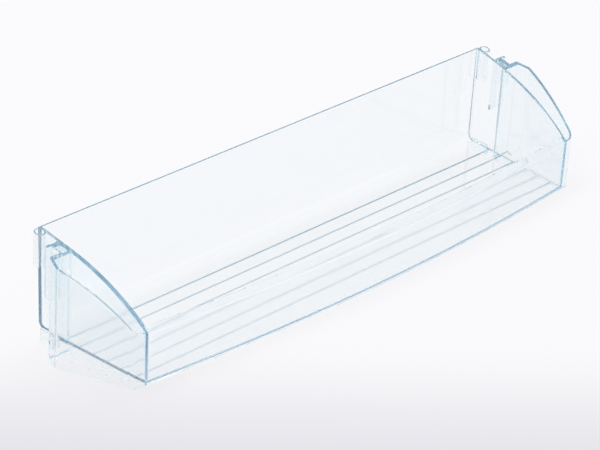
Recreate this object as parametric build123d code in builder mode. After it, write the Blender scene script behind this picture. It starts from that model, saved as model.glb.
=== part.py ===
"""Clear one-piece shelf that hangs inside a refrigerator door. Millimetres.

X runs along the shelf, +Y points at the door it hangs on, Z is up. The origin lies under the middle of
the shelf, level with its lowest edge. Depths are measured forwards from the back face of the back wall.
"""
import os
from math import asin, degrees

from build123d import *

os.makedirs("parts", exist_ok=True)

# Tray
wall = 2.4                  # thickness of the end walls
back_wall = 1.5
front_wall = 1.9
floor_thick = 1.5
half_back = 226.0           # middle of the shelf to the middle of an end wall, at the back
end_draw = 7.0              # how far each end wall draws in from the back to the front corner
depth_end = 103.3           # back face to front face, at the end walls
bow = 11.2                  # how far the middle of the front wall stands ahead of its ends
back_height = 80.3          # underside of the floor to the top of the back wall
front_height = 40.3         # underside of the floor to the outer rim of the front wall
skirt_drop = 7.2            # how far the cheeks reach below the underside of the floor
lean = 0.6                  # draft of the moulded walls, degrees
back_radius = 5.5           # rounding of the lower back edge
inner_radius = 1.0          # rounding inside the tray, but for its lower back edge
rim_round = 0.6             # rounding of the upper rim of the back wall
bead_drop = 0.8             # how far the lower front edge reaches below the floor
bead_width = 2.2
bead_round = 0.5

# Lip that leans inwards along the top of the front wall
lip_run = 5.9
lip_rise = 3.7
lip_thick = 2.3
lip_round = 1.0
lip_overrun = 0.4           # degrees turned past each end of the bow before trimming

# Side outline of the end walls
shoulder_drop = 5.5         # how far the outline falls from the rim to the back of the end boxes
arc_radius = 170.0

# Floor ribs
rib_count = 6
rib_pitch = 13.4
rib_first = 25.5            # depth of the first rib
rib_width = 1.6
rib_height = 0.7
rib_short = 1.0             # how far a rib stays clear of the rounding along the end walls

# End box: a cheek joined to the end wall by a roof, open below
box_depth = 28.7            # depth of the back face of the box
box_reach = 18.6            # how far the back of the box stands out from the middle of the end wall
flare_depth = 39.5          # where the cheek stands out furthest
flare_reach = 23.0
flare_round = 5.0
cheek_setback = 1.1         # the cheek's front corner, before rounding, behind the front corner of the tray
cheek_reach = 10.2
cheek_round = 9.0
cheek_wall = 1.7            # thickness of the cheek and of the back and front of the box
roof_thick = 2.4
roof_round = 1.2            # rounding of the outer edge of the roof
heel_rise = 3.0             # bevel at the lower back corner of the cheek
heel_run = 4.5
toe_drop = 2.1              # how far the front of the cheek reaches below the floor
toe_setback = 2.8           # front end of the cheek's lower edge behind the front corner of the tray
toe_run = 4.0

# Lug channel between rib and box
lug_gap = 8.3               # clear width for the lug on the door
lug_rib = 2.2
lug_reach = 13.3            # how far the rib stands out from the middle of the end wall
lug_rib_length = 41.2
lug_rib_round = 5.0
stop_reach = 9.4            # outer face of the stop above the channel
stop_thick = 2.2
stop_lip = 17.0             # height of the stop's lip

# Open tube at each back corner
tube_radius = 4.3
tube_wall = 1.3
tube_length = 26.5
tube_out = 5.0              # middle of the tube out from the middle of the end wall
tube_depth = 4.5

# Stub foot under each back corner
foot_depth = 11.5
foot_length = 17.0
foot_width = 6.0
foot_out = 1.6
foot_drop = 7.0

# Derived positions
back_y = (depth_end + bow) / 2
half_front = half_back - end_draw
shoulder_height = back_height - shoulder_drop
cheek_depth = depth_end - cheek_setback
toe_depth = depth_end - toe_setback
floor_z = skirt_drop
taper = (half_back - half_front) / depth_end
half_wall = wall / 2
reach_x = half_back + flare_reach + wall
reach_y = wall              # how far the side outline runs past the back and the front


def y_at(depth):
    """Y of a place that many millimetres ahead of the back face."""
    return back_y - depth


def end_x(depth):
    """X of the middle of the right end wall at a depth."""
    return half_back - taper * depth


def z_at(height):
    """Z of a place that many millimetres above the underside of the floor."""
    return floor_z + height


lug_front = box_depth - lug_gap
lug_back = lug_front - lug_rib

# Everything under the side outline, carried across the whole shelf
with BuildPart() as envelope:
    with BuildSketch(Plane.YZ) as envelope_side:
        with BuildLine():
            top_back = (y_at(-reach_y), z_at(back_height))
            low_back = (y_at(-reach_y), 0)
            low_front = (y_at(depth_end + bow + reach_y), 0)
            top_front = (y_at(depth_end + bow + reach_y), z_at(front_height - lip_thick))
            lip_foot = (y_at(depth_end), z_at(front_height - lip_thick))
            back_rim = (y_at(back_wall), z_at(back_height))
            arc_foot = (y_at(depth_end), z_at(front_height))
            shoulder = (y_at(box_depth), z_at(shoulder_height))
            Line(top_back, low_back)
            Line(low_back, low_front)
            Line(low_front, top_front)
            Line(top_front, lip_foot)
            Line(lip_foot, arc_foot)
            RadiusArc(arc_foot, shoulder, arc_radius)
            Line(shoulder, back_rim)
            Line(back_rim, top_back)
        make_face()
    extrude(amount=reach_x, both=True)

# Outline of the tray from above, at the underside of the floor
with BuildSketch(Plane.XY.offset(floor_z)) as tray_plan:
    with BuildLine():
        rear_right = (end_x(0) + half_wall, y_at(0))
        rear_left = (-rear_right[0], rear_right[1])
        nose_right = (end_x(depth_end) + half_wall, y_at(depth_end))
        nose_left = (-nose_right[0], nose_right[1])
        nose_middle = (0, y_at(depth_end + bow))
        Line(rear_left, rear_right)
        Line(rear_right, nose_right)
        ThreePointArc(nose_right, nose_middle, nose_left)
        Line(nose_left, rear_left)
    make_face()

# Lip of the front wall, turned about the middle of the bow and trimmed between the end walls
with BuildPart() as lip:
    bow_radius = (nose_right[0] ** 2 + bow ** 2) / (2 * bow)
    bow_angle = degrees(asin(nose_right[0] / bow_radius))
    bow_axis = Axis((0, nose_middle[1] + bow_radius, 0), (0, 0, 1))
    with BuildSketch(Plane.YZ) as lip_side:
        with BuildLine():
            lip_low = (nose_middle[1], z_at(front_height - lip_thick))
            lip_outer = (nose_middle[1], z_at(front_height))
            lip_inner = (nose_middle[1] + lip_run, z_at(front_height + lip_rise))
            lip_under = (nose_middle[1] + lip_run, z_at(front_height + lip_rise - lip_thick))
            lip_root = (nose_middle[1] + front_wall, z_at(front_height - lip_thick))
            Polyline(lip_low, lip_outer, lip_inner, lip_under, lip_root, close=True)
        make_face()
        outer_corner = lip_side.vertices().sort_by_distance((lip_outer[0], lip_outer[1], 0))[0]
        inner_corner = lip_side.vertices().sort_by_distance((lip_inner[0], lip_inner[1], 0))[0]
        fillet([outer_corner, inner_corner], radius=lip_round)
    revolve(axis=bow_axis, revolution_arc=bow_angle + lip_overrun)
    mirror(about=Plane.YZ)
    with BuildSketch(Plane.XY.offset(floor_z)) as lip_plan:
        add(tray_plan.sketch)
    extrude(amount=back_height, mode=Mode.INTERSECT)

# Bead along the lower front edge, turned and trimmed like the lip
with BuildPart() as bead:
    with BuildSketch(Plane.YZ) as bead_side:
        with BuildLine():
            bead_low = (nose_middle[1], z_at(-bead_drop))
            bead_top = (nose_middle[1], z_at(floor_thick))
            bead_back = (nose_middle[1] + bead_width, z_at(floor_thick))
            bead_foot = (nose_middle[1] + bead_width, z_at(-bead_drop))
            Polyline(bead_low, bead_top, bead_back, bead_foot, close=True)
        make_face()
        fillet(bead_side.vertices().group_by(Axis.Y)[0], radius=bead_round)
    revolve(axis=bow_axis, revolution_arc=bow_angle + lip_overrun)
    mirror(about=Plane.YZ)
    with BuildSketch(Plane.XY.offset(z_at(-bead_drop))) as bead_plan:
        add(tray_plan.sketch)
    extrude(amount=bead_drop + floor_thick, mode=Mode.INTERSECT)

# Space inside the tray
with BuildPart() as tray_space:
    with BuildSketch(Plane.XY.offset(z_at(floor_thick))) as space_plan:
        with BuildLine():
            back_right = (end_x(back_wall) - half_wall, y_at(back_wall))
            back_left = (-back_right[0], back_right[1])
            front_right = (end_x(depth_end - front_wall) - half_wall, y_at(depth_end - front_wall))
            front_left = (-front_right[0], front_right[1])
            front_middle = (0, y_at(depth_end + bow - front_wall))
            Line(back_left, back_right)
            Line(back_right, front_right)
            ThreePointArc(front_right, front_middle, front_left)
            Line(front_left, back_left)
        make_face()
    extrude(amount=back_height)
    straight_faces = tray_space.faces().filter_by(GeomType.PLANE).filter_by(Axis.Z, reverse=True)
    draft(straight_faces, Plane.XY.offset(z_at(floor_thick)), -lean)
    space_edges = tray_space.edges().group_by(Axis.Z)[0].sort_by(Axis.Y)
    fillet(space_edges[-1], radius=back_radius - back_wall)
    top_edges = tray_space.edges().group_by(Axis.Z)[-1]
    fillet(tray_space.edges() - top_edges, radius=inner_radius)

# One end box as a solid block, right-hand end
with BuildPart() as box_block:
    with BuildSketch() as box_plan:
        with BuildLine():
            root_inset = half_wall - cheek_wall
            box_root = (end_x(box_depth) + root_inset, y_at(box_depth))
            box_heel = (end_x(box_depth) + box_reach, y_at(box_depth))
            box_flare = (end_x(flare_depth) + flare_reach, y_at(flare_depth))
            box_corner = (end_x(cheek_depth) + cheek_reach, y_at(cheek_depth))
            box_nose = (end_x(depth_end) + root_inset, y_at(depth_end))
            Polyline(box_root, box_heel, box_flare, box_corner, box_nose, close=True)
        make_face()
        sharp_corner = box_plan.vertices().sort_by_distance((box_corner[0], box_corner[1], 0))[0]
        fillet(sharp_corner, radius=cheek_round)
        sharp_flare = box_plan.vertices().sort_by_distance((box_flare[0], box_flare[1], 0))[0]
        fillet(sharp_flare, radius=flare_round)
    extrude(amount=z_at(back_height))
    add(envelope.part, mode=Mode.INTERSECT)
    roof = box_block.faces().filter_by(GeomType.CYLINDER).sort_by(SortBy.AREA)[-1]
    roof_edges = roof.edges().filter_by(Axis.X, reverse=True).sort_by(Axis.X)[-4:]
    fillet(roof_edges, radius=roof_round)
    with BuildSketch(Plane.YZ) as skirt_side:
        with BuildLine():
            Polyline(
                (y_at(box_depth), 0),
                (y_at(box_depth), heel_rise),
                (y_at(box_depth + heel_run), 0),
                close=True,
            )
        make_face()
    extrude(amount=reach_x, mode=Mode.SUBTRACT)
    with BuildSketch(Plane.YZ) as slope_side:
        with BuildLine():
            Polyline(
                (y_at(box_depth + heel_run), 0),
                (y_at(toe_depth), z_at(-toe_drop)),
                (y_at(toe_depth + toe_run), z_at(0)),
                (y_at(toe_depth + toe_run), 0),
                close=True,
            )
        make_face()
    extrude(amount=reach_x, mode=Mode.SUBTRACT)

# The hollow of that box, open below
with BuildPart() as box_space:
    with BuildSketch() as hollow_plan:
        add(box_plan.sketch)
        offset(amount=-cheek_wall, kind=Kind.INTERSECTION)
    extrude(amount=z_at(back_height))
    draft(box_space.faces().filter_by(Axis.Z, reverse=True), Plane.XY.offset(floor_z), lean)
    add(envelope.part.moved(Location((0, 0, -roof_thick))), mode=Mode.INTERSECT)

# Rib and stop on the outside of the right-hand end wall
with BuildPart() as fittings:
    with BuildSketch(Plane.XZ.offset(-y_at(lug_back))) as rib_face:
        with BuildLine():
            rib_root = end_x(lug_back)
            rib_tip = end_x(lug_back) + lug_reach
            rib_top = z_at(back_height)
            rib_low = z_at(shoulder_height - lug_rib_length)
            Polyline(
                (rib_root, rib_top),
                (rib_tip, rib_top),
                (rib_tip, rib_low),
                (rib_root, rib_low),
                close=True,
            )
        make_face()
        fillet(rib_face.vertices().sort_by_distance((rib_tip, rib_low, 0))[0], radius=lug_rib_round)
    extrude(amount=lug_rib)
    with BuildSketch(Plane.XY.offset(z_at(shoulder_height - stop_lip))) as stop_plan:
        with BuildLine():
            Polyline(
                (end_x(lug_front), y_at(lug_front - lug_rib)),
                (end_x(lug_front) + stop_reach, y_at(lug_front - lug_rib)),
                (end_x(box_depth) + stop_reach, y_at(box_depth + cheek_wall)),
                (end_x(box_depth), y_at(box_depth + cheek_wall)),
                close=True,
            )
        make_face()
    extrude(amount=stop_lip + back_height - shoulder_height)
    add(envelope.part, mode=Mode.INTERSECT)
    with BuildSketch(Plane.XY.offset(z_at(shoulder_height - stop_lip))) as pocket_plan:
        with BuildLine():
            Polyline(
                (end_x(lug_front), y_at(lug_front)),
                (end_x(lug_front) + stop_reach - stop_thick, y_at(lug_front)),
                (end_x(box_depth) + stop_reach - stop_thick, y_at(box_depth)),
                (end_x(box_depth), y_at(box_depth)),
                close=True,
            )
        make_face()
    extrude(amount=stop_lip - stop_thick, mode=Mode.SUBTRACT)

with BuildPart() as tube:
    tube_place = Location((end_x(tube_depth) + tube_out, y_at(tube_depth), z_at(back_height)))
    with BuildSketch(tube_place) as tube_plan:
        Circle(tube_radius)
        Circle(tube_radius - tube_wall, mode=Mode.SUBTRACT)
    extrude(amount=-tube_length)
    add(envelope.part, mode=Mode.INTERSECT)

with BuildPart() as foot:
    foot_place = Location((end_x(foot_depth) + foot_out, y_at(foot_depth), z_at(-foot_drop)))
    with BuildSketch(foot_place) as foot_plan:
        SlotOverall(foot_length, foot_width, rotation=90)
    extrude(amount=foot_drop + floor_thick)

with BuildPart() as door_shelf:
    # Outer block of the tray, cut to the side outline
    add(tray_plan.sketch)
    extrude(amount=back_height)
    straight_sides = door_shelf.faces().filter_by(GeomType.PLANE).filter_by(Axis.Z, reverse=True)
    draft(straight_sides, Plane.XY.offset(floor_z), -lean)
    low_edges = door_shelf.edges().group_by(Axis.Z)[0].sort_by(Axis.Y)
    fillet(low_edges[-1], radius=back_radius)
    add(envelope.part, mode=Mode.INTERSECT)
    # End boxes and feet, then the hollows
    add(box_block.part)
    mirror(box_block.part, about=Plane.YZ)
    add(foot.part)
    mirror(foot.part, about=Plane.YZ)
    add(tray_space.part, mode=Mode.SUBTRACT)
    add(box_space.part, mode=Mode.SUBTRACT)
    mirror(box_space.part, about=Plane.YZ, mode=Mode.SUBTRACT)
    # Upper rim of the back wall
    rims = door_shelf.edges().filter_by(Axis.X).group_by(Axis.Z)[-1]
    fillet(rims.sort_by(SortBy.LENGTH)[-2:], radius=rim_round)
    # Lug ribs, stops, lip, bead and corner tubes
    add(fittings.part)
    mirror(fittings.part, about=Plane.YZ)
    add(lip.part)
    add(bead.part)
    add(tube.part)
    mirror(tube.part, about=Plane.YZ)
    # Floor ribs, ending just before the rounding along the end walls
    for rib in range(rib_count):
        rib_depth = rib_first + rib * rib_pitch
        rib_half = end_x(rib_depth) - half_wall - inner_radius - rib_short
        with BuildSketch(Plane.YZ.offset(-rib_half)) as rib_side:
            with BuildLine():
                rib_start = (y_at(rib_depth - rib_width / 2), z_at(floor_thick))
                rib_crown = (y_at(rib_depth), z_at(floor_thick + rib_height))
                rib_end = (y_at(rib_depth + rib_width / 2), z_at(floor_thick))
                ThreePointArc(rib_start, rib_crown, rib_end)
                Line(rib_end, rib_start)
            make_face()
        extrude(amount=2 * rib_half)

door_shelf.part.label = "door_shelf"
export_step(door_shelf.part, "parts/door_shelf.step")
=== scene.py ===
"""Clear light-blue refrigerator door shelf, dressed and photographed on a pale studio floor. Metres.

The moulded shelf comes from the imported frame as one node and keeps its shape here: a joined copy of its
mesh stands for it, shaded evenly over its long thin facets. This script gives it the finish of clear tinted
plastic and sets up the floor, the soft light and the camera around it.
"""
import logging
import math
from dataclasses import dataclass, field
from enum import Enum
from typing import Tuple, Union

import bmesh
import bpy
from mathutils import Matrix, Vector


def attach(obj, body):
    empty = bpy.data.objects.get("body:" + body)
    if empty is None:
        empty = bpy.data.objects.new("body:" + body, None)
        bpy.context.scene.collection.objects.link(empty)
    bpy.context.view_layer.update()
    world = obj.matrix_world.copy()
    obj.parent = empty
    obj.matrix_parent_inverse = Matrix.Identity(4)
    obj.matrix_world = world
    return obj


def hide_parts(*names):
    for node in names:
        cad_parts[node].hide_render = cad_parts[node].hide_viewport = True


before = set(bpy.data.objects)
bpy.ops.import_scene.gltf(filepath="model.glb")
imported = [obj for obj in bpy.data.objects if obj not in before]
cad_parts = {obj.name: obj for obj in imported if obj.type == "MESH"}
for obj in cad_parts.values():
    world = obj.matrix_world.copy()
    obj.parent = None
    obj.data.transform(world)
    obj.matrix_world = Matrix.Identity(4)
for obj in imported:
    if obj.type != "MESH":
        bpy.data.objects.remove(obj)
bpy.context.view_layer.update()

LOG = logging.getLogger("door_shelf")
BODY = "root"
SHELF_NODE = "door_shelf"
SHELF_SLOT = "clear_blue"

Colour = Tuple[float, float, float]
Direction = Tuple[float, float, float]
Feed = Union[float, bpy.types.NodeSocket]       # what an input takes: a number, or a link from an output

NEAR_SIDE: Direction = (-0.732, -0.681, 0.0)    # from the shelf to the darker side of the studio


class Sum(Enum):
    """What a math node works out."""

    LARGER = "MAXIMUM"
    TIMES = "MULTIPLY"
    LESS = "SUBTRACT"
    TO_AND_FRO = "PINGPONG"
    WITHIN = "COMPARE"


class Slope(Enum):
    """How a range runs from its start to its end."""

    STRAIGHT = "LINEAR"
    EASED = "SMOOTHSTEP"


def rgba(colour: Colour) -> Tuple[float, float, float, float]:
    """Returns the colour with full opacity."""
    return (*colour, 1.0)


class NodeBoard:
    """A node tree with short calls for adding, setting and joining nodes."""

    # Sockets of a colour mix, by number because their names repeat
    MIX_SHARE = 0
    MIX_FIRST = 6
    MIX_SECOND = 7
    MIX_RESULT = 2

    def __init__(self, tree: bpy.types.NodeTree) -> None:
        """Empties the tree and keeps it.

        Args:
            tree: The node tree to fill.
        """
        self.tree = tree
        tree.nodes.clear()

    def add(self, kind: str, **values: object) -> bpy.types.Node:
        """Adds a node.

        Args:
            kind: The node's type name in Blender.
            **values: Attributes to set on the node.

        Returns:
            The new node.
        """
        node = self.tree.nodes.new(kind)
        for name, value in values.items():
            setattr(node, name, value)
        return node

    def put(self, node: bpy.types.Node, **values: object) -> bpy.types.Node:
        """Sets input sockets by name, with underscores for spaces.

        Args:
            node: The node whose inputs are set.
            **values: The values, by socket name.

        Returns:
            The same node.
        """
        for name, value in values.items():
            node.inputs[name.replace("_", " ")].default_value = value
        return node

    def join(self, source: bpy.types.NodeSocket, target: bpy.types.NodeSocket) -> None:
        """Links an output socket to an input socket."""
        self.tree.links.new(source, target)

    def work_out(self, kind: Sum, *values: Feed) -> bpy.types.NodeSocket:
        """Adds a math node.

        Args:
            kind: What the node works out.
            *values: Numbers or output sockets, in the order of the node's inputs.

        Returns:
            The node's output.
        """
        node = self.add("ShaderNodeMath", operation=kind.value)
        for value, target in zip(values, node.inputs):
            if isinstance(value, bpy.types.NodeSocket):
                self.join(value, target)
            else:
                target.default_value = value
        return node.outputs["Value"]

    def spread(
        self,
        value: bpy.types.NodeSocket,
        ends: Tuple[float, float],
        results: Tuple[float, float],
        slope: Slope = Slope.STRAIGHT,
    ) -> bpy.types.NodeSocket:
        """Adds a node that carries a value from one range to another and stops at the ends.

        Args:
            value: The output socket to carry over.
            ends: The start and the end of its range.
            results: What comes out at the start and at the end.
            slope: How the result runs between them.

        Returns:
            The node's output.
        """
        node = self.add("ShaderNodeMapRange", interpolation_type=slope.value)
        start, end = ends
        at_start, at_end = results
        self.put(node, From_Min=start, From_Max=end, To_Min=at_start, To_Max=at_end)
        self.join(value, node.inputs["Value"])
        return node.outputs["Result"]

    def along(self, place: bpy.types.NodeSocket, direction: Direction) -> bpy.types.NodeSocket:
        """Adds a node that measures how far a place lies along a direction.

        Args:
            place: The output socket with the place.
            direction: A direction of length 1.

        Returns:
            The node's output.
        """
        node = self.add("ShaderNodeVectorMath", operation="DOT_PRODUCT")
        first, second = node.inputs[:2]
        self.join(place, first)
        second.default_value = direction
        return node.outputs["Value"]

    def mix(self, share: bpy.types.NodeSocket, first: Colour, second: Colour) -> bpy.types.NodeSocket:
        """Adds a node that mixes two colours.

        Args:
            share: The output socket with the second colour's share.
            first: The first colour.
            second: The second colour.

        Returns:
            The node's output.
        """
        node = self.add("ShaderNodeMix", data_type="RGBA")
        self.join(share, node.inputs[self.MIX_SHARE])
        node.inputs[self.MIX_FIRST].default_value = rgba(first)
        node.inputs[self.MIX_SECOND].default_value = rgba(second)
        return node.outputs[self.MIX_RESULT]


@dataclass(frozen=True)
class RibWear:
    """Tops of the floor ribs, which bottles rub dull."""

    first_y: float = 0.03175    # the rib nearest to the back wall
    pitch: float = 0.0134
    count: int = 6
    level: float = 0.0091       # height of the ribs above the lowest edge of the shelf
    band: float = 0.0006        # how far the wear reaches above and below that
    fade_start: float = 0.0009  # distance from a rib's middle line where the wear starts to fade
    fade_end: float = 0.0016    # and where it has faded out
    roughness: float = 0.28

    def build(self, board: NodeBoard, place: bpy.types.NodeSocket) -> bpy.types.NodeSocket:
        """Builds the wear's nodes.

        Args:
            board: The material's nodes.
            place: The output socket with the place on the shelf.

        Returns:
            The output with the roughness of the worn ribs, which is 0 beside them.
        """
        parts = board.add("ShaderNodeSeparateXYZ")
        board.join(place, parts.inputs["Vector"])
        ahead = board.work_out(Sum.LESS, self.first_y, parts.outputs["Y"])
        beside = board.work_out(Sum.TO_AND_FRO, ahead, self.pitch / 2)
        strip = board.spread(beside, (self.fade_start, self.fade_end), (1.0, 0.0), Slope.EASED)
        middle = self.pitch * (self.count - 1) / 2
        in_rows = board.work_out(Sum.WITHIN, ahead, middle, self.pitch * self.count / 2)
        in_level = board.work_out(Sum.WITHIN, parts.outputs["Z"], self.level, self.band)
        on_floor = board.work_out(Sum.TIMES, in_level, in_rows)
        worn = board.work_out(Sum.TIMES, on_floor, strip)
        return board.work_out(Sum.TIMES, worn, self.roughness)


@dataclass(frozen=True)
class ClearPlastic:
    """Clear moulded plastic with a light-blue tint that deepens along the walls.

    The tint is an absorption inside the plastic, so a wall looks clear face-on and blue where light runs
    along it.
    """

    name: str = "clear_blue_plastic"
    ior: float = 1.55
    surface: Colour = (0.988, 0.999, 1.0)
    tint: Colour = (0.02, 0.61, 0.87)
    density: float = 8.6
    polish: float = 0.085       # roughness of the clean plastic
    scuff: float = 0.115        # roughness of a scuffed patch
    scuff_scale: float = 34.0
    scuff_detail: float = 6.0
    scuff_grain: float = 0.62
    scuff_start: float = 0.52   # level of the noise where a scuff begins
    scuff_full: float = 0.8     # level of the noise where it is full
    ripple_scale: float = 26.0
    ripple_detail: float = 1.0
    ripple_depth: float = 0.00012
    ripple_strength: float = 0.18
    ribs: RibWear = field(default_factory=RibWear)

    def build(self) -> bpy.types.Material:
        """Builds the material.

        Returns:
            The finished material.
        """
        material = bpy.data.materials.new(self.name)
        material.use_nodes = True
        board = NodeBoard(material.node_tree)
        out = board.add("ShaderNodeOutputMaterial")
        plastic = board.add("ShaderNodeBsdfPrincipled")
        board.put(plastic, Base_Color=rgba(self.surface), IOR=self.ior)
        board.put(plastic, Transmission_Weight=1.0, Metallic=0.0)
        place = board.add("ShaderNodeTexCoord").outputs["Object"]
        self._scuffs(board, place, plastic)
        self._ripples(board, place, plastic)
        inside = board.add("ShaderNodeVolumeAbsorption")
        board.put(inside, Color=rgba(self.tint), Density=self.density)
        board.join(plastic.outputs["BSDF"], out.inputs["Surface"])
        board.join(inside.outputs["Volume"], out.inputs["Volume"])
        return material

    def _scuffs(self, board: NodeBoard, place: bpy.types.NodeSocket, plastic: bpy.types.Node) -> None:
        """Roughens the polish on the floor ribs, and in faint patches where hands rub.

        Args:
            board: The material's nodes.
            place: The output socket with the place on the shelf.
            plastic: The shader that takes the roughness.
        """
        patches = board.add("ShaderNodeTexNoise")
        board.put(patches, Scale=self.scuff_scale, Detail=self.scuff_detail, Roughness=self.scuff_grain)
        board.join(place, patches.inputs["Vector"])
        ends = (self.scuff_start, self.scuff_full)
        rubbed = board.spread(patches.outputs["Fac"], ends, (self.polish, self.scuff))
        rougher = board.work_out(Sum.LARGER, self.ribs.build(board, place), rubbed)
        board.join(rougher, plastic.inputs["Roughness"])

    def _ripples(self, board: NodeBoard, place: bpy.types.NodeSocket, plastic: bpy.types.Node) -> None:
        """Gives the walls the slow waviness of a moulded surface.

        Args:
            board: The material's nodes.
            place: The output socket with the place on the shelf.
            plastic: The shader that takes the normal.
        """
        waves = board.add("ShaderNodeTexNoise")
        board.put(waves, Scale=self.ripple_scale, Detail=self.ripple_detail)
        bump = board.add("ShaderNodeBump")
        board.put(bump, Strength=self.ripple_strength, Distance=self.ripple_depth)
        board.join(place, waves.inputs["Vector"])
        board.join(waves.outputs["Fac"], bump.inputs["Height"])
        board.join(bump.outputs["Normal"], plastic.inputs["Normal"])


@dataclass(frozen=True)
class PaleCard:
    """Matt white card of the studio floor, white to the camera and shaded by what stands on it; its glow
    darkens towards the near side as painted shade, standing in for the light's falloff.
    """

    name: str = "pale_card"
    colour: Colour = (0.93, 0.93, 0.95)
    roughness: float = 0.9
    glow: Colour = (0.968, 0.966, 0.984)
    # glow colour at the near side: painted shade, darker away from the light
    glow_painted_shade: Colour = (0.77, 0.765, 0.815)
    glow_level: float = 1.0
    glow_share: float = 0.9     # share of the glow in what is seen of the card; the rest takes shadows
    fade_start: float = 0.12    # distance from the origin where the painted shade on the card's glow starts
    fade_end: float = 0.31      # and where the painted shade is darkest
    painted_shade_toward: Direction = NEAR_SIDE

    def build(self) -> bpy.types.Material:
        """Builds the material.

        Returns:
            The finished material.
        """
        material = bpy.data.materials.new(self.name)
        material.use_nodes = True
        board = NodeBoard(material.node_tree)
        out = board.add("ShaderNodeOutputMaterial")
        card = board.add("ShaderNodeBsdfDiffuse")
        board.put(card, Color=rgba(self.colour), Roughness=self.roughness)
        glow = board.put(board.add("ShaderNodeEmission"), Strength=self.glow_level)
        board.join(self._paint_near_shade(board), glow.inputs["Color"])
        rays = board.add("ShaderNodeLightPath").outputs
        seen = board.work_out(Sum.LARGER, rays["Is Camera Ray"], rays["Is Glossy Ray"])
        seen_through = board.work_out(Sum.LARGER, seen, rays["Is Transmission Ray"])
        both = board.add("ShaderNodeMixShader")
        share, matt, glowing = both.inputs
        board.join(board.work_out(Sum.TIMES, seen_through, self.glow_share), share)
        board.join(card.outputs["BSDF"], matt)
        board.join(glow.outputs["Emission"], glowing)
        board.join(both.outputs["Shader"], out.inputs["Surface"])
        return material

    def _paint_near_shade(self, board: NodeBoard) -> bpy.types.NodeSocket:
        """Paints shade into the card's glow: it darkens slowly towards the near side, away from the light,
        as painted light falloff.

        Args:
            board: The material's nodes.

        Returns:
            The output with the card's glow colour, painted shade included.
        """
        place = board.add("ShaderNodeTexCoord").outputs["Object"]
        ends = (self.fade_start, self.fade_end)
        share = board.spread(board.along(place, self.painted_shade_toward), ends, (0.0, 1.0), Slope.EASED)
        # mixes the even glow with the painted shade towards the near side
        return board.mix(share, self.glow, self.glow_painted_shade)


@dataclass
class DoorShelf:
    """The moulded shelf: the node's own mesh, joined, evenly shaded and dressed in clear plastic.

    The node's triangles are loose and long, and their averaged normals show as broken lines in clear
    plastic.
    """

    name: str = "clear_shelf"
    node: str = SHELF_NODE
    slot: str = SHELF_SLOT
    weld: float = 1e-6          # corners closer than this become one
    crease: float = 28.0        # edges that turn by more degrees stay sharp
    normal_layer: str = "custom_normal"     # Blender's name for the averaged normals
    finish: ClearPlastic = field(default_factory=ClearPlastic)

    def build(self) -> bpy.types.Object:
        """Dresses the shelf.

        Returns:
            The shelf's object.
        """
        shelf = bpy.data.objects.new(self.name, self._joined_mesh())
        bpy.context.scene.collection.objects.link(shelf)
        self._shade(shelf)
        shelf.data.materials.clear()
        shelf.data.materials.append(self.finish.build())
        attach(shelf, BODY)
        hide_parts(self.node)
        return shelf

    def _joined_mesh(self) -> bpy.types.Mesh:
        """Joins a copy of the node's loose triangles and marks its creases.

        Returns:
            The joined mesh.
        """
        work = bmesh.new()
        work.from_mesh(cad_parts[self.node].data)
        bmesh.ops.remove_doubles(work, verts=work.verts, dist=self.weld)
        mesh = bpy.data.meshes.new(self.name)
        work.to_mesh(mesh)
        work.free()
        if self.normal_layer in mesh.attributes:
            mesh.attributes.remove(mesh.attributes[self.normal_layer])
        mesh.shade_smooth()
        mesh.set_sharp_from_angle(angle=math.radians(self.crease))
        return mesh

    def _shade(self, shelf: bpy.types.Object) -> None:
        """Shades the shelf by its larger faces, so that flat walls stay flat beside their roundings.

        Args:
            shelf: The shelf's object.
        """
        even = shelf.modifiers.new("even_shading", "WEIGHTED_NORMAL")
        even.keep_sharp = True
        view = bpy.context.evaluated_depsgraph_get()
        shaded = bpy.data.meshes.new_from_object(shelf.evaluated_get(view))
        shelf.modifiers.remove(even)
        shelf.data = shaded


@dataclass
class StudioFloor:
    """A wide floor under the shelf, which leans forward on the lower edges of its cheeks."""

    name: str = "studio_floor"
    rest_y: float = 0.02405     # the lowest corner of the cheeks, at height 0
    slope: float = 0.0758       # rise towards the front, as of the cheeks' lower edges
    reach: float = 6.0
    drop: float = 0.0001        # air left under the cheeks
    card: PaleCard = field(default_factory=PaleCard)

    def height(self, y: float) -> float:
        """Returns the height of the floor at a place along Y."""
        return self.slope * (self.rest_y - y) - self.drop

    def build(self) -> bpy.types.Object:
        """Builds the floor.

        Returns:
            The floor's object.
        """
        far = self.reach
        corners = ((-far, -far), (far, -far), (far, far), (-far, far))
        points = [(x, y, self.height(y)) for x, y in corners]
        mesh = bpy.data.meshes.new(self.name)
        mesh.from_pydata(points, [], [tuple(range(len(points)))])
        mesh.materials.append(self.card.build())
        floor = bpy.data.objects.new(self.name, mesh)
        bpy.context.scene.collection.objects.link(floor)
        return floor


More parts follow.
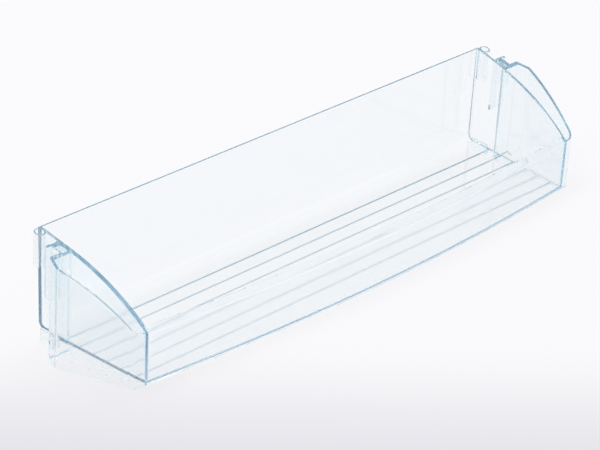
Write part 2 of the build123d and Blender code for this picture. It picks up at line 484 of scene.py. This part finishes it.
@dataclass
class SoftSky:
    """White studio walls, darker on the near side, seen in the plastic and lighting the shelf softly."""

    name: str = "soft_sky"
    colour: Colour = (0.98, 0.98, 1.0)
    seen: float = 1.0           # brightness to the eye and in the plastic
    light: float = 0.75         # brightness as light on the floor
    shade: float = 0.4          # share of either that is left on the near side
    shade_start: float = 0.0    # square to the near side, where the shade begins
    shade_end: float = 0.6      # cosine of the angle to the near side where it is full
    shade_toward: Direction = NEAR_SIDE

    def build(self) -> bpy.types.World:
        """Builds the world.

        Returns:
            The world.
        """
        world = bpy.data.worlds.new(self.name)
        world.use_nodes = True
        board = NodeBoard(world.node_tree)
        out = board.add("ShaderNodeOutputWorld")
        sky = board.put(board.add("ShaderNodeBackground"), Color=rgba(self.colour))
        board.join(self._level(board), sky.inputs["Strength"])
        board.join(sky.outputs["Background"], out.inputs["Surface"])
        bpy.context.scene.world = world
        return world

    def _level(self, board: NodeBoard) -> bpy.types.NodeSocket:
        """Sets how bright the walls are, by direction and by whether they are seen or only give light.

        Args:
            board: The world's nodes.

        Returns:
            The output with the brightness.
        """
        rays = board.add("ShaderNodeLightPath").outputs
        use = board.spread(rays["Diffuse Depth"], (0.0, 1.0), (self.seen, self.light))
        place = board.add("ShaderNodeTexCoord").outputs["Generated"]
        ends = (self.shade_start, self.shade_end)
        side = board.spread(board.along(place, self.shade_toward), ends, (1.0, self.shade), Slope.EASED)
        return board.work_out(Sum.TIMES, use, side)


@dataclass
class SoftBox:
    """A wide soft light above the back of the shelf, facing straight down and hidden from glossy rays."""

    name: str = "soft_box"
    across: float = 1.5
    along: float = 0.64
    height: float = 1.5
    place: Tuple[float, float] = (0.0, 0.38)
    watts: float = 14.0

    def build(self) -> bpy.types.Object:
        """Builds the light.

        Returns:
            The light's object.
        """
        data = bpy.data.lights.new(self.name, "AREA")
        data.shape = "RECTANGLE"
        data.size = self.across
        data.size_y = self.along
        data.energy = self.watts
        light = bpy.data.objects.new(self.name, data)
        bpy.context.scene.collection.objects.link(light)
        light.location = (*self.place, self.height)
        light.visible_glossy = False
        return light


@dataclass
class LightPaths:
    """How often light may turn before it is dropped.

    Light caught in the walls turns many times on its way out.
    """

    turns: int = 512

    def build(self) -> None:
        """Sets the scene's light paths."""
        paths = bpy.context.scene.cycles
        paths.max_bounces = self.turns
        paths.transmission_bounces = self.turns
        paths.glossy_bounces = self.turns


@dataclass
class ViewPoint:
    """The camera at the photograph's viewing angle. Angles in degrees."""

    name: str = "view_point"
    azimuth: float = -47.055
    elevation: float = 28.92
    roll: float = 3.509
    aim: Tuple[float, float, float] = (-0.00331, 0.02286, 0.02380)
    distance: float = 1.98282
    lens: float = 160.622       # millimetres
    sensor: float = 36.0        # millimetres

    def build(self) -> bpy.types.Object:
        """Builds the camera and makes it the scene's own.

        Returns:
            The camera's object.
        """
        turn, lift, roll = (math.radians(angle) for angle in (self.azimuth, self.elevation, self.roll))
        back = Vector((math.sin(turn) * math.cos(lift), -math.cos(turn) * math.cos(lift), math.sin(lift)))
        level = Vector((math.cos(turn), math.sin(turn), 0.0))
        upright = back.cross(level)
        right = math.cos(roll) * level + math.sin(roll) * upright
        up = math.cos(roll) * upright - math.sin(roll) * level
        data = bpy.data.cameras.new(self.name)
        data.lens = self.lens
        data.sensor_width = self.sensor
        camera = bpy.data.objects.new(self.name, data)
        bpy.context.scene.collection.objects.link(camera)
        turned = Matrix((right, up, back)).transposed().to_4x4()
        camera.matrix_world = Matrix.Translation(Vector(self.aim) + back * self.distance) @ turned
        bpy.context.scene.camera = camera
        return camera


def main() -> None:
    """Builds every part of the scene in order."""
    logging.basicConfig(level=logging.INFO, format="%(name)s: %(message)s")
    bpy.context.scene.view_settings.view_transform = "Standard"
    shelf = DoorShelf().build()
    LOG.info("%s dressed, %d facets", shelf.name, len(shelf.data.polygons))
    floor = StudioFloor().build()
    LOG.info("%s laid", floor.name)
    world = SoftSky().build()
    light = SoftBox().build()
    LOG.info("%s and %s lit", world.name, light.name)
    LightPaths().build()
    camera = ViewPoint().build()
    LOG.info("%s placed", camera.name)


if __name__ == "__main__":
    main()
